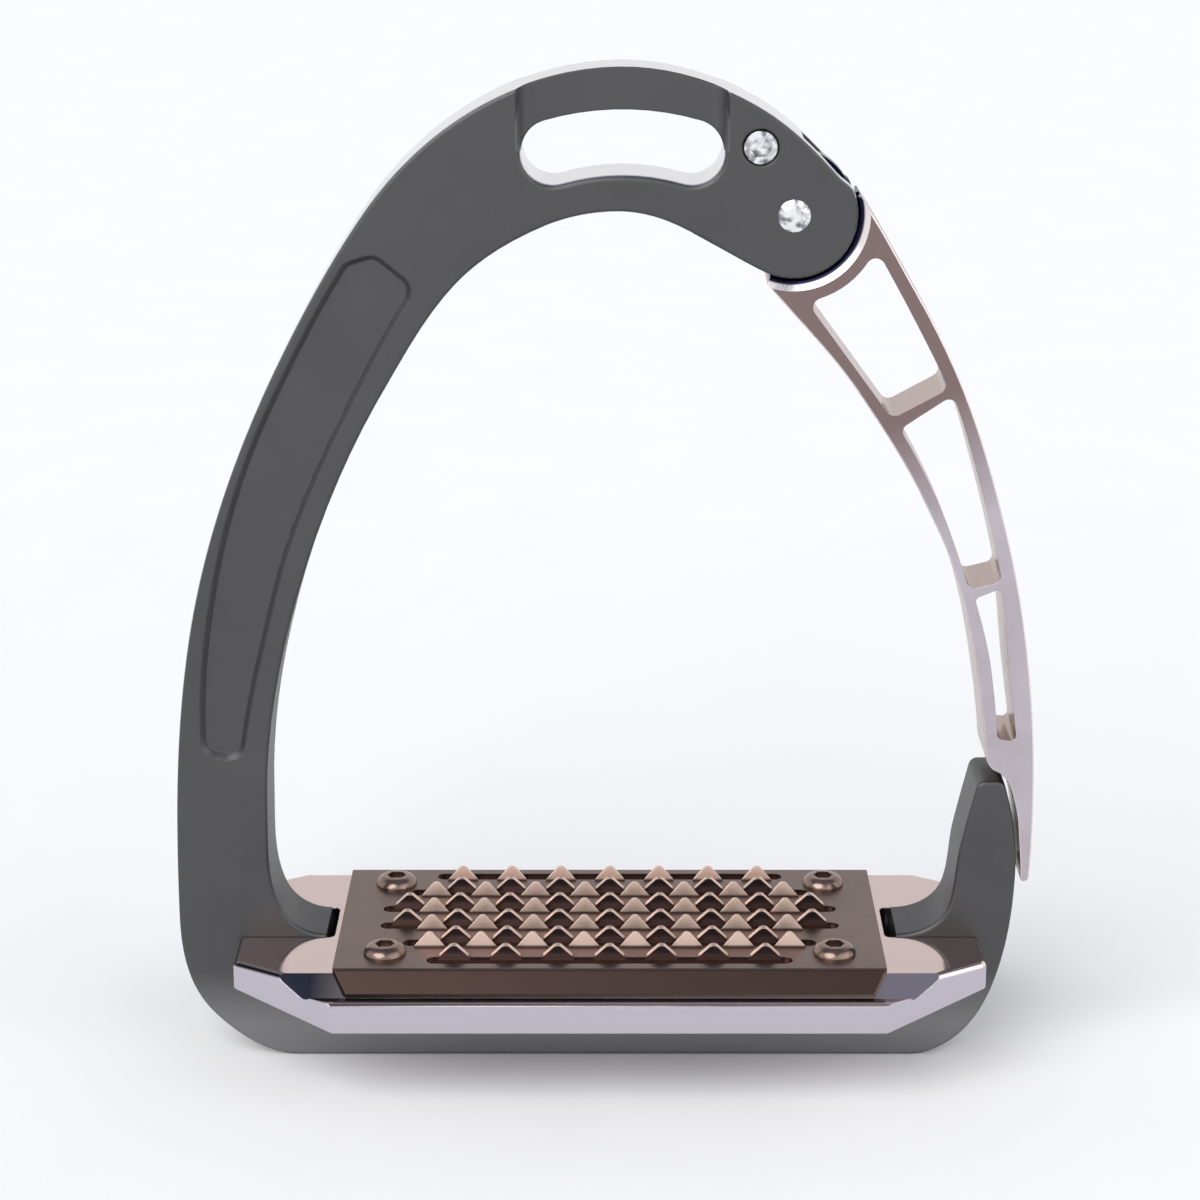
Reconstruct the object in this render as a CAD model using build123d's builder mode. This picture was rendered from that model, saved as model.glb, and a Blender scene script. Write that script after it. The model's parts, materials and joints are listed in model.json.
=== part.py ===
# Safety stirrup iron: a one-piece bow with a sprung outer arm that swings open.
# Millimetres. Origin at the middle of the bottom; +Z up, +X to the release arm, -Y to the front.
import os
from math import cos, dist, radians, sin

from build123d import *

# ---- driving dimensions -------------------------------------------------------------
THICK = 13.0               # bow and arm, front to back
BOW_TOP = 173.8
BAR_TOP = 14.35            # top of the bottom bar, where the tread base sits
EDGE_ROUND = 0.6           # rounding of the bow's long edges
POCKET = 1.0               # depth of the pockets in the solid arm, and their sloping walls
POCKET_BEVEL = 0.85
POCKET_CORNER = 2.2
WAIST = 4.4                # half thickness of the bar that the leather hangs from
ARM_ROUND = 0.3
FOOT_TOP = 23.0            # top of the bow's two feet, just above the tread base
FOOT_LEFT = -48.6
FOOT_RIGHT = 51.2
STUB_TOP = 51.5
SLOT_X = 3.1               # middle of the leather slot
TREAD_X = 1.0              # middle of the tread
TREAD_TOP = 22.6           # top of the tread base
PLATE = 1.0                # thickness of the grip plate

PIVOT = (31.1, 149.9)      # hinge axis, seen from the front
END_R = 10.5               # round end of the bow about the hinge axis
END_FROM, END_TO = 21, -116
SEAT_R = 10.9              # hollow end of the arm about the hinge axis
TONGUE = 6.0               # thickness of the arm's tongue
TONGUE_R = 10.1            # round end of the tongue
FORK_GAP = 7.2             # gap between the bow's two cheeks
FORK_R = 12.3              # depth of that gap about the hinge axis
PIN_R = 2.0                # hinge pin
PIVOT_THREAD_R = 1.0       # screw that closes the hinge pin
ANCHOR = (25.5, 161.0)     # screw that holds the spring's fixed leg
ANCHOR_R = 1.5
RUNNING = 0.04             # clearance of a running fit, on the radius
SEATED = 0.02              # clearance of a screw, pin or bush in its own hole

FORK_POCKET_R = 4.2        # room round the anchor screw for the spring's leg
ANCHOR_HEAD = 2.0          # depth and radius of the anchor screw's sunk head
ANCHOR_HEAD_R = 2.7
BUSH_R = 3.0
SPRING_R = 5.0             # mean radius of the return spring's coil
WIRE_R = 0.4
LEG_AT = 41                # where the two legs leave the coil, in degrees about the hinge axis
HEEL_LEG_AT = -20

TREAD_HALF_LENGTH = 64.8
TREAD_HALF_FRONT = 47.0    # half of the straight front edge, between the clipped corners
TREAD_HALF_END = 17.3
TREAD_HALF_DEPTH = 28.3
TREAD_FLAT = 21.9          # half depth of the flat top
TREAD_END_Z = 17.8         # underside of the tread base at its ends
NOTCH_AT = 48.15           # inner end of the two notches for the bow
NOTCH_HALF = 6.65
TREAD_SCREW_X = (TREAD_X - 30, TREAD_X + 30)
TREAD_SCREW_R = 2.5
TREAD_HEAD_R = 4.8
SUNK = 0.15                # how far the tread screws' heads sit inside the bottom bar
GRIP_HALF = 47.2
GRIP_SCREW_AT = (38.7, 15.5)
GRIP_SCREW_R = 2.0
GRIP_HEAD = 1.7            # height of the grip screws' heads
TOOTH_PITCH = 8.9
SLIT_PITCH = 7.5
SLIT = 2.8
BUMPER_AT = (71.4, 34.4)
BUMPER_R = 1.6

HALF = THICK / 2
SIDES = (-1, 1)


def on_circle(angle, radius, centre=PIVOT):
    """Point at an angle and a radius about a centre, seen from the front."""
    return (centre[0] + radius * cos(radians(angle)), centre[1] + radius * sin(radians(angle)))


def trace(*stations):
    """Smooth outline through stations of x, z and heading in degrees."""
    for (x0, z0, a0), (x1, z1, a1) in zip(stations, stations[1:]):
        turn = radians((a1 - a0 + 180) % 360 - 180)
        reach = dist((x0, z0), (x1, z1)) / (3 * cos(turn / 4) ** 2)
        leave = (x0 + reach * cos(radians(a0)), z0 + reach * sin(radians(a0)))
        arrive = (x1 - reach * cos(radians(a1)), z1 - reach * sin(radians(a1)))
        Bezier((x0, z0), leave, arrive, (x1, z1))


def across(y, point=(0, 0)):
    """Sketch plane that faces the front at depth y, with its origin at a point of the front view."""
    return Plane(origin=(point[0], y, point[1]), x_dir=(1, 0, 0), z_dir=(0, -1, 0))


def round_bar(front, back, radius, point=PIVOT, mode=Mode.ADD):
    """Round pin or hole along Y from the front depth to the back depth."""
    with BuildSketch(across(front, point)) as end:
        Circle(radius)
    extrude(end.sketch, amount=front - back, mode=mode)


def clipped_rectangle(front_corner, end_corner):
    """Rectangle with clipped corners, from the two corners in its first quarter."""
    (x0, y0), (x1, y1) = front_corner, end_corner
    Polygon((x0, y0), (x1, y1), (x1, -y1), (x0, -y0),
            (-x0, -y0), (-x1, -y1), (-x1, y1), (-x0, y0), align=None)


def save(piece, name):
    piece.part.label = name
    export_step(piece.part, f"parts/{name}.step")


os.makedirs("parts", exist_ok=True)

# ---- frame: bow, bottom bar and stub in one piece --------------------------------------
with BuildPart() as frame:
    with BuildSketch(Plane.XZ):
        with BuildLine():
            Line((54, 0), (-53.6, 0))
            trace((-53.6, 0, 180), (-68.7, 8, 133), (-74.2, 26, 90), (-70.4, 78, 79.5), (-53.5, 126, 63),
                  (-39.4, 150, 55), (-28, 162.3, 39), (SLOT_X, BOW_TOP, 0), (26, 167.1, -31),
                  (38.3, 156.3, -48), (*on_circle(END_FROM, END_R), END_FROM - 90))
            ThreePointArc(on_circle(END_FROM, END_R), on_circle(-45, END_R), on_circle(END_TO, END_R))
            trace((*on_circle(END_TO, END_R), END_TO - 90), (12.5, 148, 154), (2.4, 150.5, 180),
                  (-10.6, 147.7, 204), (-24.5, 138.3, 227), (-36.8, 120, 239.5), (-52.1, 84, 253.5),
                  (-58.2, 46, 270), (-56.6, 28.2, 293), (FOOT_LEFT, FOOT_TOP, 0))
            Polyline((FOOT_LEFT, FOOT_TOP), (FOOT_LEFT, BAR_TOP),
                     (FOOT_RIGHT, BAR_TOP), (FOOT_RIGHT, FOOT_TOP))
            trace((FOOT_RIGHT, FOOT_TOP, 0), (60.1, 28.3, 71), (61.7, 39, 79), (64.5, STUB_TOP, 77))
            Line((64.5, STUB_TOP), (69, STUB_TOP))
            trace((69, STUB_TOP, -73), (71.6, 36, -90), (69.1, 15.7, -106), (60.9, 2.4, -145), (54, 0, 180))
        make_face()
    extrude(amount=HALF, both=True)
    fillet(frame.edges().filter_by(Axis.Y).filter_by_position(Axis.Z, STUB_TOP - 0.1, STUB_TOP + 0.1), 1.6)
    fillet([e for e in frame.faces().filter_by(Axis.Y).edges() if not 14 < e.center().Z < 20], EDGE_ROUND)

    # leather slot, and the thinned bar above it that the leather runs over
    with BuildSketch(Plane.XZ):
        with BuildLine():
            bend = ThreePointArc((SLOT_X - 11.3, 160.1), (SLOT_X, 161.7), (SLOT_X + 11.3, 160.1))
        SlotArc(bend, 10.4)
    extrude(amount=HALF, both=True, mode=Mode.SUBTRACT)
    slot_rim = [e for e in frame.edges() if abs(abs(e.center().Y) - HALF) < 0.01 and e.center().Z < 157.5
                and abs(e.center().X - SLOT_X) < 12 and e.center().Z > 153]
    fillet(slot_rim, 1.0)
    for side in SIDES:
        with BuildSketch(Plane.XY.offset(160.5)):
            with BuildLine():
                near, far = (SLOT_X - 17.8, side * 7.1), (SLOT_X + 17.8, side * 7.1)
                trace((*near, -side * 52), (SLOT_X - 14.4, side * WAIST, 0))
                Line((SLOT_X - 14.4, side * WAIST), (SLOT_X + 14.4, side * WAIST))
                trace((SLOT_X + 14.4, side * WAIST, 0), (*far, side * 52))
                Line(far, near)
            make_face()
        extrude(amount=20, mode=Mode.SUBTRACT)

    # long shallow pocket in both faces of the solid arm
    for side in SIDES:
        with BuildSketch(across(side * HALF)):
            with BuildLine():
                trace((-68.4, 57, 92), (-65.2, 88, 78), (-55.4, 117, 64), (-42, 141.5, 57))
                Polyline((-42, 141.5), (-37.6, 142.8), (-31.6, 137.8))
                trace((-31.6, 137.8, 236), (-43.8, 116, 243), (-56.2, 85, 256), (-62.6, 56, 263))
                Line((-62.6, 56), (-68.4, 57))
            make_face()
            fillet([v for v in vertices() if not 80 < v.Y < 120], POCKET_CORNER)
        extrude(amount=side * POCKET, mode=Mode.SUBTRACT)
    holes = [rim for face in frame.faces().filter_by(Axis.Y) for rim in face.inner_wires()]
    chamfer([e for rim in holes if rim.bounding_box().max.X < -30 for e in rim.edges()], POCKET_BEVEL)

    # fork for the arm's tongue, with room for the spring's leg round the anchor screw
    with BuildSketch(Plane.XZ):
        with Locations(PIVOT):
            Circle(FORK_R)
        with Locations(ANCHOR):
            Circle(FORK_POCKET_R)
    extrude(amount=FORK_GAP / 2, both=True, mode=Mode.SUBTRACT)
    round_bar(-HALF - 1, HALF + 1, PIN_R + SEATED, mode=Mode.SUBTRACT)
    round_bar(-HALF - 1, HALF - 0.8, ANCHOR_R + SEATED, ANCHOR, Mode.SUBTRACT)
    round_bar(-HALF - 1, -HALF + ANCHOR_HEAD, ANCHOR_HEAD_R + 0.1, ANCHOR, Mode.SUBTRACT)
    with BuildSketch(across(-HALF, ANCHOR)):
        Circle(ANCHOR_HEAD_R + 0.5)
    extrude(amount=-0.4, taper=45, mode=Mode.SUBTRACT)

    # countersunk holes up through the bottom bar, and the bumper's hole in the stub
    with Locations(*[Location((x, 0, 0), (180, 0, 0)) for x in TREAD_SCREW_X]):
        CounterSinkHole(TREAD_SCREW_R + SEATED, TREAD_HEAD_R + 0.2, depth=BAR_TOP, counter_sink_angle=90)
    for start, radius in ((BUMPER_AT[0] - 3, BUMPER_R / 2 + SEATED), (BUMPER_AT[0], BUMPER_R + SEATED)):
        with BuildSketch(Plane(origin=(start, 0, BUMPER_AT[1]), z_dir=(1, 0, 0))) as bumper_hole:
            Circle(radius)
        extrude(bumper_hole.sketch, amount=6, mode=Mode.SUBTRACT)
save(frame, "frame")


# ---- release arm: windowed blade outside, tongue in the fork ---------------------------
def arm_outline():
    shoulder = on_circle(15, SEAT_R + 0.4)
    heel = on_circle(-110, 12.2)
    trace((*shoulder, -55), (50.8, 138.3, -59.5), (60.3, 119.4, -68), (67.8, 96, -75),
          (72.9, 68.3, -83.5), (74.2, 43, -90), (73.95, 34, -93), (73.15, 33, 180), (72.35, 34, 90),
          (71.7, 43, 94), (70.2, 50, 108), (67.6, 53.3, 160), (65.6, 56.5, 95), (63.4, 72.3, 100),
          (59.6, 88.3, 108), (53.1, 102.8, 116.5), (42.5, 120, 124), (*heel, 131))
    Polyline(heel, PIVOT, shoulder)


with BuildPart() as release_arm:
    with BuildSketch(Plane.XZ):
        with BuildLine():
            arm_outline()
        make_face()
        with Locations(PIVOT):
            Circle(SEAT_R, mode=Mode.SUBTRACT)
    extrude(amount=HALF, both=True)
    fillet(release_arm.faces().filter_by(Axis.Y).edges().filter_by(lambda e: e.length > 100), ARM_ROUND)

    # hollow seat's bevelled rim
    for side in SIDES:
        with BuildSketch(across(side * HALF, PIVOT)):
            Circle(SEAT_R + 1.6)
        extrude(amount=side * 1.0, taper=58, mode=Mode.SUBTRACT)

    # three windows, largest at the top
    with BuildSketch(Plane.XZ):
        with BuildLine():
            ThreePointArc(on_circle(-81, 14.4), on_circle(-50, 14.4), on_circle(-21.5, 14.4))
            trace((*on_circle(-21.5, 14.4), -60), (57.2, 121, -64))
            Polyline((57.2, 121), (47.9, 115.9), on_circle(-81, 14.4))
        make_face()
        fillet(vertices(), 1.6)
    extrude(amount=HALF, both=True, mode=Mode.SUBTRACT)
    with BuildSketch(Plane.XZ):
        with BuildLine():
            trace((57.9, 119.9, -66), (63.4, 103, -73), (67.3, 87.6, -77))
            Line((67.3, 87.6), (61.7, 86.2))
            trace((61.7, 86.2, 108), (56, 101.6, 115), (49.3, 114.1, 122))
            Line((49.3, 114.1), (57.9, 119.9))
        make_face()
        fillet([v for v in vertices() if not 95 < v.Y < 108], 1.4)
    extrude(amount=HALF, both=True, mode=Mode.SUBTRACT)
    with BuildSketch(Plane.XZ):
        with BuildLine():
            trace((67.2, 86.4, -79), (69, 72, -83), (70.8, 59, -84))
            Line((70.8, 59), (67.5, 59.4))
            trace((67.5, 59.4, 94), (66, 72, 99), (62.8, 84.6, 107))
            Line((62.8, 84.6), (67.2, 86.4))
        make_face()
        fillet([v for v in vertices() if not 65 < v.Y < 80], 0.9)
    extrude(amount=HALF, both=True, mode=Mode.SUBTRACT)

    # tongue, with the bush's bore and the spring's pocket
    with BuildSketch(Plane.XZ):
        with BuildLine():
            arm_outline()
        make_face()
        with Locations(PIVOT):
            Circle(SEAT_R + 1.8, mode=Mode.INTERSECT)
            Circle(TONGUE_R)
    extrude(amount=TONGUE / 2, both=True)
    round_bar(-HALF, HALF, BUSH_R + SEATED, mode=Mode.SUBTRACT)
    with BuildSketch(across(-TONGUE / 2, PIVOT)):
        Circle(SPRING_R + 1.2)
        with BuildLine():
            spread = CenterArc((0, 0), TONGUE_R + 1.2, -4, 114)
            Polyline(spread @ 1, (0, 0), spread @ 0)
        make_face()
        with Locations((SPRING_R * cos(radians(HEEL_LEG_AT)), SPRING_R * sin(radians(HEEL_LEG_AT)))):
            with Locations(Location((0, 0), HEEL_LEG_AT - 90)):
                Rectangle(8, 1.2, align=(Align.MIN, Align.CENTER))
        Circle(BUSH_R + 0.9, mode=Mode.SUBTRACT)
    extrude(amount=-2.95, mode=Mode.SUBTRACT)
save(release_arm, "release_arm")

# ---- hinge: pin, its screw, bush, washers, spring and anchor screw ----------------------
with BuildPart() as pivot_pin:
    round_bar(-HALF, HALF - 0.5, PIN_R)
    with BuildSketch(Plane.XY.offset(PIVOT[1])):
        with BuildLine(Location((PIVOT[0], 0))):
            dome = TangentArc((0, -HALF - 1.0), (2.7, -HALF - 0.15), tangent=(1, 0))
            Polyline(dome @ 1, (2.7, -HALF), (0, -HALF), dome @ 0)
        make_face()
    revolve(axis=Axis((PIVOT[0], 0, PIVOT[1]), (0, 1, 0)))
    round_bar(0, HALF, PIVOT_THREAD_R + SEATED, mode=Mode.SUBTRACT)
save(pivot_pin, "pivot_pin")

with BuildPart() as pivot_screw:
    with BuildSketch(Plane.XY.offset(PIVOT[1])):
        with BuildLine(Location((PIVOT[0], 0))):
            dome = TangentArc((0, HALF + 1.1), (2.7, HALF + 0.2), tangent=(1, 0))
            Polyline(dome @ 1, (2.7, HALF), (PIVOT_THREAD_R, HALF), (PIVOT_THREAD_R, 0.4), (0, 0.4), dome @ 0)
        make_face()
    revolve(axis=Axis((PIVOT[0], 0, PIVOT[1]), (0, 1, 0)))
    with BuildSketch(across(HALF + 1.2, PIVOT)):
        RegularPolygon(0.75, 6, major_radius=False)
    extrude(amount=1.0, mode=Mode.SUBTRACT)
save(pivot_screw, "pivot_screw")

with BuildPart() as pivot_bush:
    round_bar(-TONGUE / 2, TONGUE / 2, BUSH_R)
    round_bar(-TONGUE / 2, TONGUE / 2, PIN_R + RUNNING, mode=Mode.SUBTRACT)
save(pivot_bush, "pivot_bush")

for side, name in zip(SIDES, ("thrust_washer_front", "thrust_washer_back")):
    near, far = sorted((side * (TONGUE / 2 + 0.05), side * (TONGUE / 2 + 0.55)))
    with BuildPart() as washer:
        round_bar(near, far, 6.8)
        round_bar(near, far, PIN_R + RUNNING, mode=Mode.SUBTRACT)
    save(washer, name)

# coil wound from the back leg, in the arm's tongue, to the front leg, on the anchor screw
COIL_BACK = -0.66
COIL_PITCH = 0.85
coil_depth = COIL_PITCH * (2 + (LEG_AT - HEEL_LEG_AT) / 360)
heel_way = Vector(cos(radians(HEEL_LEG_AT)), 0, sin(radians(HEEL_LEG_AT)))
coil_base = Plane(origin=(PIVOT[0], COIL_BACK, PIVOT[1]), x_dir=heel_way, z_dir=(0, -1, 0))
coil = coil_base.location * Helix(COIL_PITCH, coil_depth, SPRING_R)
with BuildPart() as return_spring:
    with BuildSketch(Plane(origin=coil @ 0, z_dir=coil % 0)) as wire_end:
        Circle(WIRE_R)
    sweep(wire_end.sketch, path=coil, is_frenet=True)
    extrude(wire_end.sketch, amount=-6.5)
    with BuildSketch(Plane(origin=coil @ 1, z_dir=coil % 1)) as wire_end:
        Circle(WIRE_R)
    extrude(wire_end.sketch, amount=11.6)
save(return_spring, "return_spring")

with BuildPart() as anchor_screw:
    round_bar(-HALF + ANCHOR_HEAD, HALF - 1, ANCHOR_R, ANCHOR)
    round_bar(-HALF + 0.1, -HALF + ANCHOR_HEAD, ANCHOR_HEAD_R, ANCHOR)
    with BuildSketch(across(-HALF, ANCHOR)):
        RegularPolygon(1.5, 6, major_radius=False)
    extrude(amount=-1.5, mode=Mode.SUBTRACT)
save(anchor_screw, "spring_anchor_screw")

with BuildPart() as arm_bumper:
    with BuildSketch(Plane(origin=(BUMPER_AT[0] - 2.8, 0, BUMPER_AT[1]), z_dir=(1, 0, 0))):
        Circle(BUMPER_R / 2)
    extrude(amount=2.9)
    with BuildSketch(Plane(origin=(BUMPER_AT[0], 0, BUMPER_AT[1]), z_dir=(1, 0, 0))):
        Circle(BUMPER_R)
    extrude(amount=0.6)
save(arm_bumper, "arm_bumper")

# ---- tread base: plate with clipped corners, notched for the bow -------------------------
with BuildPart() as tread_base:
    with BuildSketch(Plane(origin=(TREAD_X, 0, 0), x_dir=(0, 1, 0), z_dir=(1, 0, 0))):
        with BuildLine():
            Polyline((0, BAR_TOP), (TREAD_HALF_DEPTH, BAR_TOP), (TREAD_HALF_DEPTH, 19.7), (25.9, 19.7),
                     (25.5, 19.3), (25.1, 19.3), (TREAD_FLAT, TREAD_TOP), (0, TREAD_TOP))
            mirror(about=Plane.YZ)
        make_face()
        fillet([v for v in vertices() if abs(v.X) > 28 and v.Y > 19], 0.8)
    extrude(amount=TREAD_HALF_LENGTH, both=True)
    with BuildSketch(Plane.XY.offset(BAR_TOP)):
        with Locations((TREAD_X, 0)):
            clipped_rectangle((TREAD_HALF_FRONT, TREAD_HALF_DEPTH), (TREAD_HALF_LENGTH, TREAD_HALF_END))
        fillet(vertices(), 1.5)
    extrude(amount=10, mode=Mode.INTERSECT)

    # underside that rises to the two ends, notches for the bow, and a softened top edge
    for side in SIDES:
        with BuildSketch(Plane.XZ.offset(-TREAD_HALF_DEPTH)):
            Polygon((TREAD_X + side * TREAD_HALF_FRONT, BAR_TOP), (TREAD_X + side * 66, TREAD_END_Z + 0.25),
                    (TREAD_X + side * 66, BAR_TOP), align=None)
        extrude(amount=2 * TREAD_HALF_DEPTH, mode=Mode.SUBTRACT)
    top_edges = tread_base.faces().sort_by(Axis.Z)[-1].edges()
    fillet([e for e in top_edges if abs(e.center().Y) < TREAD_FLAT - 0.1], 1.2)
    for side in SIDES:
        with BuildSketch(Plane.XY.offset(BAR_TOP - 1)):
            with Locations((TREAD_X + side * (NOTCH_AT + 15), 0)):
                RectangleRounded(30, 2 * NOTCH_HALF, 1.2)
        extrude(amount=20, mode=Mode.SUBTRACT)

    # tapped holes: four from the top for the grip plate, two from below for the bow
    with Locations((TREAD_X, 0, TREAD_TOP)):
        with GridLocations(2 * GRIP_SCREW_AT[0], 2 * GRIP_SCREW_AT[1], 2, 2):
            Hole(GRIP_SCREW_R + SEATED, depth=6.5)
    with Locations(*[Location((x, 0, BAR_TOP), (180, 0, 0)) for x in TREAD_SCREW_X]):
        Hole(TREAD_SCREW_R + SEATED, depth=6)

    # lightening pockets underneath
    with BuildSketch(Plane.XY.offset(BAR_TOP)):
        with Locations((TREAD_X, 0)):
            with GridLocations(32, 36, 2, 2):
                RectangleRounded(28, 14, 3)
    extrude(amount=4.5, mode=Mode.SUBTRACT)
save(tread_base, "tread_base")

for x, name in zip(TREAD_SCREW_X, ("tread_screw_left", "tread_screw_right")):
    cone = TREAD_HEAD_R - TREAD_SCREW_R
    with BuildPart() as tread_screw:
        with BuildSketch(Plane.XZ):
            with BuildLine():
                Polyline((x, SUNK), (x + TREAD_HEAD_R, SUNK), (x + TREAD_SCREW_R, SUNK + cone),
                         (x + TREAD_SCREW_R, BAR_TOP + 5.6), (x, BAR_TOP + 5.6), close=True)
            make_face()
        revolve(axis=Axis((x, 0, 0), (0, 0, 1)))
        with BuildSketch(Plane.XY.offset(SUNK)):
            with Locations((x, 0)):
                RegularPolygon(1.5, 6, major_radius=False)
        extrude(amount=2.2, mode=Mode.SUBTRACT)
    save(tread_screw, name)

# ---- grip plate: bent sheet with slits and raised teeth ----------------------------------
GRIP_TOP = TREAD_TOP + PLATE
TOOTH_LEAN = radians(77)
tooth_counts = ((0, 7), (8, 7), (8, 9), (8, 9), (8, 7), (7, 0))   # on each slit's front and back edges

with BuildPart() as grip_plate:
    with BuildSketch(Plane(origin=(TREAD_X, 0, 0), x_dir=(0, 1, 0), z_dir=(1, 0, 0))):
        with BuildLine():
            Polyline((0, TREAD_TOP), (TREAD_FLAT, TREAD_TOP), (24.79, 19.65), (25.5, 20.35),
                     (22.33, GRIP_TOP), (0, GRIP_TOP))
            mirror(about=Plane.YZ)
        make_face()
        fillet([v for v in vertices() if 22 < abs(v.X) < 23], 1.1)
    extrude(amount=GRIP_HALF, both=True)
    with BuildSketch(Plane.XY.offset(15)):
        with Locations((TREAD_X, 0)):
            clipped_rectangle((GRIP_HALF - 2.8, 26), (GRIP_HALF, 22))
    extrude(amount=10, mode=Mode.INTERSECT)

    for row, counts in enumerate(tooth_counts):
        with BuildSketch(Plane.XY.offset(TREAD_TOP)):
            with Locations((TREAD_X, (row - 2.5) * SLIT_PITCH)):
                SlotOverall(TOOTH_PITCH * max(counts) + 0.4, SLIT)
        extrude(amount=PLATE, mode=Mode.SUBTRACT)
    with Locations((TREAD_X, 0, GRIP_TOP)):
        with GridLocations(2 * GRIP_SCREW_AT[0], 2 * GRIP_SCREW_AT[1], 2, 2):
            Hole(GRIP_SCREW_R + 0.2)

    # teeth bent up from the two edges of each slit, front ones leaning back and back ones forward
    for row, counts in enumerate(tooth_counts):
        for edge, count in zip(SIDES, counts):
            if count:
                root = (TREAD_X, (row - 2.5) * SLIT_PITCH + edge * (SLIT / 2 + 0.3), TREAD_TOP + 0.5)
                lean = (0, -sin(TOOTH_LEAN), -edge * cos(TOOTH_LEAN))
                with BuildSketch(Plane(origin=root, x_dir=(1, 0, 0), z_dir=lean)):
                    with GridLocations(TOOTH_PITCH, 0, count, 1):
                        Polygon((-2.9, 0), (2.9, 0), (2.65, 0.7),
                                (0.45, 3.1), (-0.45, 3.1), (-2.65, 0.7), align=None)
                    fillet([v for v in vertices() if v.Y > 1.5], 0.9)
                extrude(amount=0.45, both=True)
save(grip_plate, "grip_plate")

for side, end in ((-1, "left"), (1, "right")):
    for depth, face in ((-1, "front"), (1, "back")):
        x, y = TREAD_X + side * GRIP_SCREW_AT[0], depth * GRIP_SCREW_AT[1]
        with BuildPart() as grip_screw:
            with BuildSketch(Plane(origin=(x, y, GRIP_TOP), x_dir=(1, 0, 0), z_dir=(0, -1, 0))):
                with BuildLine():
                    crown = TangentArc((1.9, GRIP_HEAD), (3.7, 0.3), tangent=(1, 0))
                    Polyline(crown @ 1, (3.7, 0), (GRIP_SCREW_R, 0), (GRIP_SCREW_R, -PLATE - 6),
                             (0, -PLATE - 6), (0, GRIP_HEAD), crown @ 0)
                make_face()
            revolve(axis=Axis((x, y, 0), (0, 0, 1)))
            with BuildSketch(Plane.XY.offset(GRIP_TOP + GRIP_HEAD)):
                with Locations((x, y)):
                    RegularPolygon(1.5, 6, major_radius=False)
            extrude(amount=-1.2, mode=Mode.SUBTRACT)
        save(grip_screw, f"grip_screw_{face}_{end}")
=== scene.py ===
# Looks of a safety stirrup iron: anodised bow and release arm, polished tread, bronze grip plate.
# Metres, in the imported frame: +Z up, +X to the release arm, -Y to the front.
import json
import math

import bpy
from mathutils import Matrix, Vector

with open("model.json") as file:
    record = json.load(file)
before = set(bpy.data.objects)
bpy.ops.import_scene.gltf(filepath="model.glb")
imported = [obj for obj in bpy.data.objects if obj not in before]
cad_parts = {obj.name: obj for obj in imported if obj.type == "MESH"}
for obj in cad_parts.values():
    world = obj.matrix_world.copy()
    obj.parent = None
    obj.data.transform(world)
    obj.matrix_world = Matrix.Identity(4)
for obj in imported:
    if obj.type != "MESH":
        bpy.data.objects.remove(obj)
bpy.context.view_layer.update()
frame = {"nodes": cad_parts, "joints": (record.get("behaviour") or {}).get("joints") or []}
MM = 0.001
NOISE_SPAN = {"From Min": 0.3, "From Max": 0.7}     # most of what a noise gives
FALLING = {"To Min": 1, "To Max": 0}

RING_MIDDLE = Vector((0, 0, 98)) * MM       # well inside the ring of the bow
SLOT_MIDDLE = Vector((3.1, 0, 160.9)) * MM
SLOT_REACH = 19 * MM
PIVOT = Vector(frame["joints"][0]["pos_m"])  # the arm's hinge


# ---- helpers -------------------------------------------------------------------------
def linear(code):
    """An sRGB hex colour as linear RGBA."""
    channels = [int(code[i:i + 2], 16) / 255 for i in (1, 3, 5)]
    return [c / 12.92 if c <= 0.04045 else ((c + 0.055) / 1.055) ** 2.4 for c in channels] + [1]


def add(tree, kind, settings=None, links=None):
    """Adds a node with its settings and links. A link is an output, or a node for its first live output."""
    made = tree.nodes.new(kind)
    for name, value in (settings or {}).items():
        if isinstance(name, str) and hasattr(made, name):
            setattr(made, name, value)
        else:
            made.inputs[name].default_value = value
    for name, source in (links or {}).items():
        if isinstance(source, bpy.types.Node):
            source = next(output for output in source.outputs if output.enabled)
        tree.links.new(source, made.inputs[name])
    return made


# A mix takes its factor on socket 0, numbers on sockets 2 and 3, and colours on sockets 6 and 7.
def finish(name, edge_mm, surface, **settings):
    """A new material whose surface function gives the colour, the roughness and a relief, or no relief.

    A relief is the height output, its depth in millimetres and its strength. The edges look rounded.
    """
    material = bpy.data.materials.new(name)
    material.use_nodes = True
    tree = material.node_tree
    tree.nodes.clear()
    place = add(tree, "ShaderNodeTexCoord")
    colour, roughness, relief = surface(tree, place.outputs["Object"], place.outputs["Normal"])
    normal = add(tree, "ShaderNodeBevel", {"samples": 4, "Radius": edge_mm * MM})
    if relief:
        height, depth_mm, strength = relief
        normal = add(tree, "ShaderNodeBump", {"Strength": strength, "Distance": depth_mm * MM},
                     {"Height": height, "Normal": normal})
    shader = add(tree, "ShaderNodeBsdfPrincipled", settings,
                 {"Base Color": colour, "Roughness": roughness, "Normal": normal})
    add(tree, "ShaderNodeOutputMaterial", links={"Surface": shader})
    return material


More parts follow.
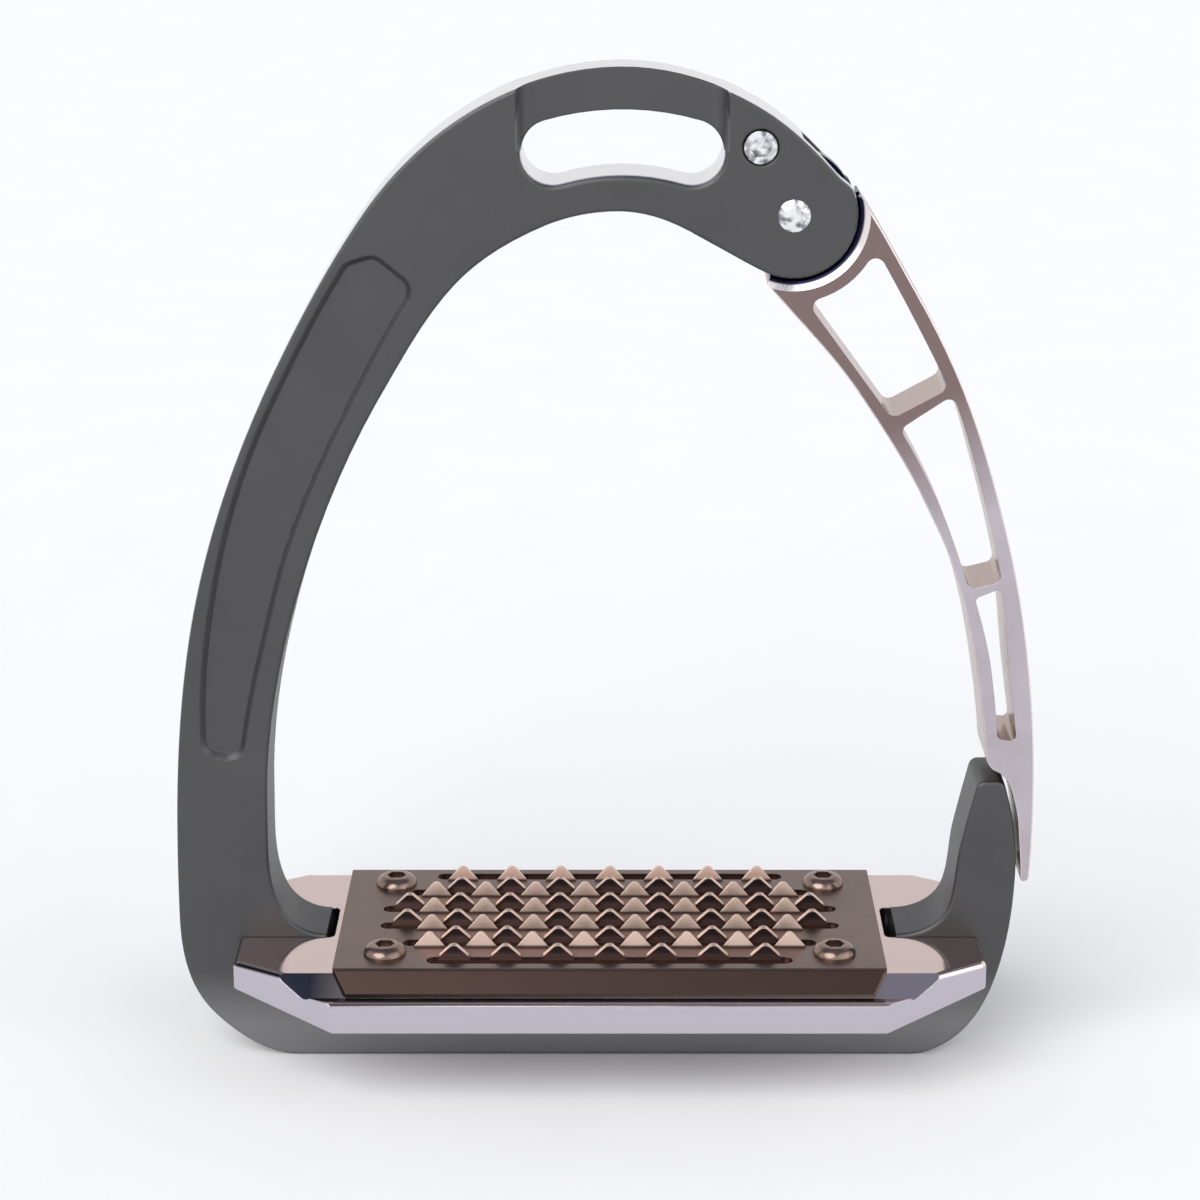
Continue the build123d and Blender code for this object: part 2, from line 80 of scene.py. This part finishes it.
# ---- finishes --------------------------------------------------------------------------
def graphite_anodised_aluminium(tree, place, normal):
    """Bead-blasted and dyed faces. The outer rim of the bow, fading in with height, and the walls of the
    leather slot are smoother and painted pale, a painted reflection of the bright surroundings.

    The lowest part is painted lighter, to offset the shadow that the tread throws on it.
    """
    way = add(tree, "ShaderNodeSeparateXYZ", links={0: normal})
    sideways = add(tree, "ShaderNodeMath", {"operation": "ABSOLUTE"}, {0: way.outputs["Y"]})
    rim = add(tree, "ShaderNodeMapRange", {"From Min": 0.45, "From Max": 0.68, **FALLING},
              {"Value": sideways})
    from_middle = add(tree, "ShaderNodeVectorMath", {"operation": "SUBTRACT", 1: RING_MIDDLE},
                      {0: place})
    outward = add(tree, "ShaderNodeVectorMath", {"operation": "DOT_PRODUCT"},
                  {0: from_middle, 1: normal})
    outside = add(tree, "ShaderNodeMath", {"operation": "GREATER_THAN", 1: 0.0}, {0: outward})
    from_slot = add(tree, "ShaderNodeVectorMath", {"operation": "DISTANCE", 1: SLOT_MIDDLE}, {0: place})
    in_slot = add(tree, "ShaderNodeMath", {"operation": "LESS_THAN", 1: SLOT_REACH}, {0: from_slot})
    height = add(tree, "ShaderNodeSeparateXYZ", links={0: place}).outputs["Z"]
    upper = add(tree, "ShaderNodeMapRange", {"From Min": 55 * MM, "From Max": 95 * MM},
                {"Value": height})
    outer_bow = add(tree, "ShaderNodeMath", {"operation": "MULTIPLY"}, {0: outside, 1: upper})
    # painted reflection: the outer rim and the slot walls are painted pale, and made smoother below
    painted_rim_and_slot = add(tree, "ShaderNodeMath", {"operation": "MAXIMUM"}, {0: outer_bow, 1: in_slot})
    bright = add(tree, "ShaderNodeMath", {"operation": "MULTIPLY"}, {0: rim, 1: painted_rim_and_slot})

    cloud = add(tree, "ShaderNodeTexNoise", {"Scale": 1 / (14 * MM)}, {"Vector": place})
    dyed = add(tree, "ShaderNodeMix", {"data_type": "RGBA", 6: linear("#545455"), 7: linear("#5C5C5D")},
               {0: cloud})
    # painted light: the lowest part is lightened to offset the shadow the tread throws on it
    foot = add(tree, "ShaderNodeMapRange", {"From Min": 6 * MM, "From Max": 16 * MM, **FALLING},
               {"Value": height})
    painted_fill_light = add(tree, "ShaderNodeMix", {"data_type": "RGBA", 7: linear("#838384")}, {0: foot, 6: dyed})
    colour = add(tree, "ShaderNodeMix", {"data_type": "RGBA", 7: linear("#D6D5D8")},
                 {0: bright, 6: painted_fill_light})

    beads = add(tree, "ShaderNodeTexNoise", {"Scale": 1 / (0.35 * MM)}, {"Vector": place})
    satin = add(tree, "ShaderNodeMapRange", {**NOISE_SPAN, "To Min": 0.40, "To Max": 0.50},
                {"Value": beads})
    roughness = add(tree, "ShaderNodeMix", {3: 0.20}, {0: bright, 2: satin})
    along = add(tree, "ShaderNodeMapping", {"Scale": (0.02, 1, 0.02)}, {"Vector": place})
    turned = add(tree, "ShaderNodeTexNoise", {"Scale": 1 / (0.5 * MM)}, {"Vector": along})
    texture = add(tree, "ShaderNodeMix", links={0: bright, 2: beads, 3: turned})
    return colour, roughness, (texture, 0.012, 0.35)


def rose_anodised_aluminium(tree, place, normal):
    """Fine-turned faces in a thin rose dye, whose colour runs from dark rose high on the arm to silver at
    the tip.

    Its rounded edges carry a painted pale highlight, its sideways faces, such as the insides of its
    windows, a painted tan shading, and a thin ring round the hinge a painted navy shadow of the gap.
    """
    at = add(tree, "ShaderNodeSeparateXYZ", links={0: place})
    inward = add(tree, "ShaderNodeMath", {"operation": "MULTIPLY", 1: -0.6}, {0: at.outputs["X"]})
    along_arm = add(tree, "ShaderNodeMath", {"operation": "ADD"}, {0: at.outputs["Z"], 1: inward})
    fade = add(tree, "ShaderNodeMapRange", {"From Min": 60 * MM, "From Max": 86 * MM},
               {"Value": along_arm})
    face = add(tree, "ShaderNodeMix", {"data_type": "RGBA", 6: linear("#C2BAC2"), 7: linear("#857270")},
               {0: fade})
    cloud = add(tree, "ShaderNodeTexNoise", {"Scale": 1 / (9 * MM)}, {"Vector": place})
    shade = add(tree, "ShaderNodeMapRange", {**NOISE_SPAN, "To Min": 0, "To Max": 0.2}, {"Value": cloud})
    dyed = add(tree, "ShaderNodeMix", {"data_type": "RGBA", 7: linear("#82706F")}, {0: shade, 6: face})

    way = add(tree, "ShaderNodeSeparateXYZ", links={0: normal})
    sideways = add(tree, "ShaderNodeMath", {"operation": "ABSOLUTE"}, {0: way.outputs["Y"]})
    # painted shading on the sideways faces and a painted highlight on the rounded edges
    wall_shade = add(tree, "ShaderNodeMapRange", {"From Min": 0.2, "From Max": 0.35, **FALLING},
               {"Value": sideways})
    highlight_band = add(tree, "ShaderNodeMapRange", {"From Min": 0.9, "From Max": 0.97, **FALLING},
                 {"Value": sideways})
    edge_highlighted = add(tree, "ShaderNodeMix", {"data_type": "RGBA", 7: linear("#E6DEDE")}, {0: highlight_band, 6: dyed})
    walls_shaded = add(tree, "ShaderNodeMix", {"data_type": "RGBA", 7: linear("#AE9A92")}, {0: wall_shade, 6: edge_highlighted})

    from_pivot = add(tree, "ShaderNodeVectorMath", {"operation": "SUBTRACT", 1: PIVOT}, {0: place})
    flat = add(tree, "ShaderNodeVectorMath", {"operation": "MULTIPLY", 1: (1, 0, 1)}, {0: from_pivot})
    radius = add(tree, "ShaderNodeVectorMath", {"operation": "LENGTH"}, {0: flat})
    # painted shadow: a thin navy ring round the hinge, where the gap is in shade
    gap_shadow = add(tree, "ShaderNodeMapRange", {"From Min": 11.4 * MM, "From Max": 11.7 * MM, **FALLING},
               {"Value": radius})
    colour = add(tree, "ShaderNodeMix", {"data_type": "RGBA", 7: linear("#23233C")},
                 {0: gap_shadow, 6: walls_shaded})

    upright = add(tree, "ShaderNodeMapping", {"Scale": (1, 1, 0.03)}, {"Vector": place})
    brushed = add(tree, "ShaderNodeTexNoise", {"Scale": 1 / (0.3 * MM)}, {"Vector": upright})
    roughness = add(tree, "ShaderNodeMapRange", {**NOISE_SPAN, "To Min": 0.20, "To Max": 0.30},
                    {"Value": brushed})
    return colour, roughness, (brushed, 0.008, 0.3)


def polished_aluminium(tree, place, normal):
    """Mirror-polished faces with the faint haze and hairlines of use.

    The sloping faces are painted from dark at the left to pale at the right, the upright faces lilac and
    the upward faces pinkish, rosier above 22 mm, all in place of a mirror's reflection of a studio that is
    not modelled.
    """
    at = add(tree, "ShaderNodeSeparateXYZ", links={0: place})
    rising = add(tree, "ShaderNodeSeparateXYZ", links={0: normal}).outputs["Z"]
    upward = add(tree, "ShaderNodeMapRange", {"From Min": 0.75, "From Max": 0.95}, {"Value": rising})
    sloping = add(tree, "ShaderNodeMapRange", {"From Min": 0.3, "From Max": 0.6}, {"Value": rising})
    across = add(tree, "ShaderNodeMapRange", {"From Min": -50 * MM, "From Max": 50 * MM},
                 {"Value": at.outputs["X"]})
    slope_reflection = add(tree, "ShaderNodeMix", {"data_type": "RGBA", 6: linear("#191B24"), 7: linear("#F4E4DA")},
                {0: across})
    # painted reflection: upright faces lilac, sloping faces dark to pale across, upward faces pinkish
    side_reflection = add(tree, "ShaderNodeMix", {"data_type": "RGBA", 6: linear("#C3BCC6")},
               {0: sloping, 7: slope_reflection})
    level = add(tree, "ShaderNodeMapRange", {"From Min": 20 * MM, "From Max": 22 * MM},
                {"Value": at.outputs["Z"]})
    top_reflection = add(tree, "ShaderNodeMix", {"data_type": "RGBA", 6: linear("#CDC2C2"), 7: linear("#CDB9B4")},
              {0: level})
    colour = add(tree, "ShaderNodeMix", {"data_type": "RGBA"}, {0: upward, 6: side_reflection, 7: top_reflection})

    haze = add(tree, "ShaderNodeTexNoise", {"Scale": 1 / (11 * MM), "Detail": 3.0}, {"Vector": place})
    roughness = add(tree, "ShaderNodeMapRange", {**NOISE_SPAN, "To Min": 0.07, "To Max": 0.15},
                    {"Value": haze})
    along = add(tree, "ShaderNodeMapping", {"Scale": (0.02, 1, 1)}, {"Vector": place})
    hairlines = add(tree, "ShaderNodeTexNoise", {"Scale": 1 / (0.4 * MM)}, {"Vector": along})
    return colour, roughness, (hairlines, 0.004, 0.15)


def bronze_coated_steel(tree, place, normal):
    """Pressed sheet under a metallic bronze coat.

    The teeth are painted with light and shade: pale where they face up and dark where they face down, which
    deepens their contrast. Faces that turn forward, such as the bent-down front edge of the sheet, are
    painted darker as painted shade.
    """
    cloud = add(tree, "ShaderNodeTexNoise", {"Scale": 1 / (7 * MM), "Detail": 3.0}, {"Vector": place})
    flat = add(tree, "ShaderNodeMix", {"data_type": "RGBA", 6: linear("#6C5B55"), 7: linear("#79665F")},
               {0: cloud})
    rising = add(tree, "ShaderNodeSeparateXYZ", links={0: normal}).outputs["Z"]
    # painted shade on faces that turn away from the top, such as the bent-down front edge
    shaded_skirt = add(tree, "ShaderNodeMapRange", {"From Min": 0.75, "From Max": 0.95, **FALLING},
                {"Value": rising})
    coat = add(tree, "ShaderNodeMix", {"data_type": "RGBA", 7: linear("#493934")}, {0: shaded_skirt, 6: flat})
    height = add(tree, "ShaderNodeSeparateXYZ", links={0: place}).outputs["Z"]
    teeth = add(tree, "ShaderNodeMapRange", {"From Min": 23.75 * MM, "From Max": 24.1 * MM},
                {"Value": height})
    # painted light and shade on the teeth, by which way they face
    facing_up = add(tree, "ShaderNodeMapRange", {"From Min": -0.12, "From Max": 0.12}, {"Value": rising})
    tooth_light_and_shade = add(tree, "ShaderNodeMix", {"data_type": "RGBA", 6: linear("#564A4A"), 7: linear("#D9BFB1")},
                {0: facing_up})
    colour = add(tree, "ShaderNodeMix", {"data_type": "RGBA"}, {0: teeth, 6: coat, 7: tooth_light_and_shade})
    flakes = add(tree, "ShaderNodeTexNoise", {"Scale": 1 / (0.3 * MM)}, {"Vector": place})
    roughness = add(tree, "ShaderNodeMapRange", {**NOISE_SPAN, "To Min": 0.28, "To Max": 0.40},
                    {"Value": flakes})
    return colour, roughness, (flakes, 0.012, 0.3)


def bronze_coated_screw(tree, place, normal):
    """Turned screw heads under the same bronze coat, a little glossier."""
    cloud = add(tree, "ShaderNodeTexNoise", {"Scale": 1 / (2.5 * MM), "Detail": 3.0}, {"Vector": place})
    colour = add(tree, "ShaderNodeMix", {"data_type": "RGBA", 6: linear("#6E5B54"), 7: linear("#9C877C")},
                 {0: cloud})
    fine = add(tree, "ShaderNodeTexNoise", {"Scale": 1 / (0.4 * MM)}, {"Vector": place})
    roughness = add(tree, "ShaderNodeMapRange", {**NOISE_SPAN, "To Min": 0.18, "To Max": 0.28},
                    {"Value": fine})
    return colour, roughness, None


def polished_stainless_steel(tree, place, normal):
    """Domed and socket heads polished bright. The dark patches are painted, in place of reflections."""
    cloud = add(tree, "ShaderNodeTexNoise", {"Scale": 1 / (1.6 * MM), "Detail": 3.0}, {"Vector": place})
    patch = add(tree, "ShaderNodeMapRange", {"From Min": 0.38, "From Max": 0.58}, {"Value": cloud})
    colour = add(tree, "ShaderNodeMix", {"data_type": "RGBA", 6: linear("#77777B"), 7: linear("#F0F0F2")},
                 {0: patch})
    roughness = add(tree, "ShaderNodeMapRange", {**NOISE_SPAN, "To Min": 0.06, "To Max": 0.18},
                    {"Value": cloud})
    return colour, roughness, None


def machined_stainless_steel(tree, place, normal):
    """Plain turned screws, with the tool's fine rings."""
    level = add(tree, "ShaderNodeMapping", {"Scale": (0.05, 0.05, 1)}, {"Vector": place})
    rings = add(tree, "ShaderNodeTexNoise", {"Scale": 1 / (0.25 * MM)}, {"Vector": level})
    colour = add(tree, "ShaderNodeMix", {"data_type": "RGBA", 6: linear("#9C9CA0"), 7: linear("#B9B9BD")},
                 {0: rings})
    roughness = add(tree, "ShaderNodeMapRange", {**NOISE_SPAN, "To Min": 0.28, "To Max": 0.40},
                    {"Value": rings})
    return colour, roughness, None


def drawn_spring_wire(tree, place, normal):
    """Cold-drawn wire with a thin film of oil."""
    film = add(tree, "ShaderNodeTexNoise", {"Scale": 1 / (1.2 * MM), "Detail": 3.0}, {"Vector": place})
    colour = add(tree, "ShaderNodeMix", {"data_type": "RGBA", 6: linear("#77777C"), 7: linear("#9B9A98")},
                 {0: film})
    roughness = add(tree, "ShaderNodeMapRange", {**NOISE_SPAN, "To Min": 0.22, "To Max": 0.36},
                    {"Value": film})
    return colour, roughness, None


def sintered_bronze(tree, place, normal):
    """Pressed bearing bronze, matt and slightly porous."""
    pores = add(tree, "ShaderNodeTexNoise", {"Scale": 1 / (0.25 * MM), "Detail": 3.0}, {"Vector": place})
    colour = add(tree, "ShaderNodeMix", {"data_type": "RGBA", 6: linear("#A87F48"), 7: linear("#C39A60")},
                 {0: pores})
    roughness = add(tree, "ShaderNodeMapRange", {**NOISE_SPAN, "To Min": 0.36, "To Max": 0.50},
                    {"Value": pores})
    return colour, roughness, (pores, 0.01, 0.4)


def moulded_acetal(tree, place, normal):
    """White bearing plastic, waxy and smooth."""
    cloud = add(tree, "ShaderNodeTexNoise", {"Scale": 1 / (3 * MM)}, {"Vector": place})
    colour = add(tree, "ShaderNodeMix", {"data_type": "RGBA", 6: linear("#E4E1D6"), 7: linear("#EFEDE4")},
                 {0: cloud})
    roughness = add(tree, "ShaderNodeMapRange", {**NOISE_SPAN, "To Min": 0.34, "To Max": 0.44},
                    {"Value": cloud})
    return colour, roughness, None


def moulded_rubber(tree, place, normal):
    """Soft black rubber, matt with a greyish bloom."""
    bloom = add(tree, "ShaderNodeTexNoise", {"Scale": 1 / (0.8 * MM), "Detail": 3.0}, {"Vector": place})
    colour = add(tree, "ShaderNodeMix", {"data_type": "RGBA", 6: linear("#141414"), 7: linear("#262626")},
                 {0: bloom})
    roughness = add(tree, "ShaderNodeMapRange", {**NOISE_SPAN, "To Min": 0.55, "To Max": 0.75},
                    {"Value": bloom})
    return colour, roughness, (bloom, 0.02, 0.3)


def white_paper(tree, place, normal):
    """Matt seamless paper under the whole set, very slightly uneven."""
    cloud = add(tree, "ShaderNodeTexNoise", {"Scale": 1 / (30 * MM)}, {"Vector": place})
    colour = add(tree, "ShaderNodeMix", {"data_type": "RGBA", 6: linear("#F4F4F3"), 7: linear("#F6F6F5")},
                 {0: cloud})
    roughness = add(tree, "ShaderNodeMapRange", {**NOISE_SPAN, "To Min": 0.86, "To Max": 0.94},
                    {"Value": cloud})
    return colour, roughness, None


METAL, COATED = {"Metallic": 1.0}, {"Metallic": 0.92}
GRIP_SCREWS = [f"grip_screw_{face}_{end}" for face in ("front", "back") for end in ("left", "right")]

for surface, edge_mm, settings, names in (
    (graphite_anodised_aluminium, 0.45, METAL, ["frame"]),
    (rose_anodised_aluminium, 0.2, METAL, ["release_arm"]),
    (polished_aluminium, 0.3, METAL, ["tread_base"]),
    (bronze_coated_steel, 0.22, COATED, ["grip_plate"]),
    (bronze_coated_screw, 0.15, COATED, GRIP_SCREWS),
    (polished_stainless_steel, 0.15, METAL, ["pivot_pin", "pivot_screw", "spring_anchor_screw"]),
    (machined_stainless_steel, 0.1, METAL, ["tread_screw_left", "tread_screw_right"]),
    (drawn_spring_wire, 0.05, METAL, ["return_spring"]),
    (sintered_bronze, 0.1, METAL, ["pivot_bush"]),
    (moulded_acetal, 0.1, {"IOR": 1.48}, ["thrust_washer_front", "thrust_washer_back"]),
    (moulded_rubber, 0.2, {"IOR": 1.52}, ["arm_bumper"]),
):
    material = finish(surface.__name__, edge_mm, surface, **settings)
    for name in names:
        slots = frame["nodes"][name].data.materials
        slots.clear()
        slots.append(material)

# ---- floor, light and camera ------------------------------------------------------------
FLOOR = 12.0
bpy.ops.mesh.primitive_plane_add(size=FLOOR, location=(0, 0, 0))
floor = bpy.context.object
floor.name = "floor"
floor.data.materials.append(finish("white_paper", 0.1, white_paper, IOR=1.45))

# white round the horizon, a dim blue-grey ceiling above
world = bpy.data.worlds.new("studio")
bpy.context.scene.world = world
world.use_nodes = True
sky = world.node_tree
sky.nodes.clear()
way = add(sky, "ShaderNodeTexCoord")
rise = add(sky, "ShaderNodeSeparateXYZ", links={0: way.outputs["Generated"]})
ramp = add(sky, "ShaderNodeValToRGB", links={0: rise.outputs["Z"]})
stops = ramp.color_ramp.elements
stops[1].position, stops[1].color = 1.0, linear("#8C90A6")
stops[0].position, stops[0].color = 0.0, linear("#FFFFFF")
for position, colour in ((0.6, "#F4F4F6"), (0.82, "#5A5F78")):
    stops.new(position).color = linear(colour)
glow = add(sky, "ShaderNodeBackground", {"Strength": 1.0}, {"Color": ramp})
add(sky, "ShaderNodeOutputWorld", links={"Surface": glow})


def broad_light(name, toward, width_deg, strength):
    """A distant soft light, as wide as a large softbox, shining along a direction."""
    lamp = bpy.data.lights.new(name, "SUN")
    lamp.angle = math.radians(width_deg)
    lamp.energy = strength
    holder = bpy.data.objects.new(name, lamp)
    bpy.context.scene.collection.objects.link(holder)
    holder.rotation_euler = Vector(toward).to_track_quat("-Z", "Y").to_euler()


broad_light("key", (0.5, 0.7, -0.8), 50, 1.9)
broad_light("fill", (-0.8, 0.5, -0.6), 60, 0.6)

lens = bpy.data.cameras.new("camera")
lens.lens = 93.0
lens.sensor_width = 36.0
lens.shift_x = -0.01
lens.clip_start = 0.02
camera = bpy.data.objects.new("camera", lens)
bpy.context.scene.collection.objects.link(camera)
camera.location = Vector((1.4, -507.23, 239.93)) * MM
camera.rotation_euler = (math.radians(90 - 17.257), 0, 0)
bpy.context.scene.camera = camera
bpy.context.scene.view_settings.view_transform = "Standard"
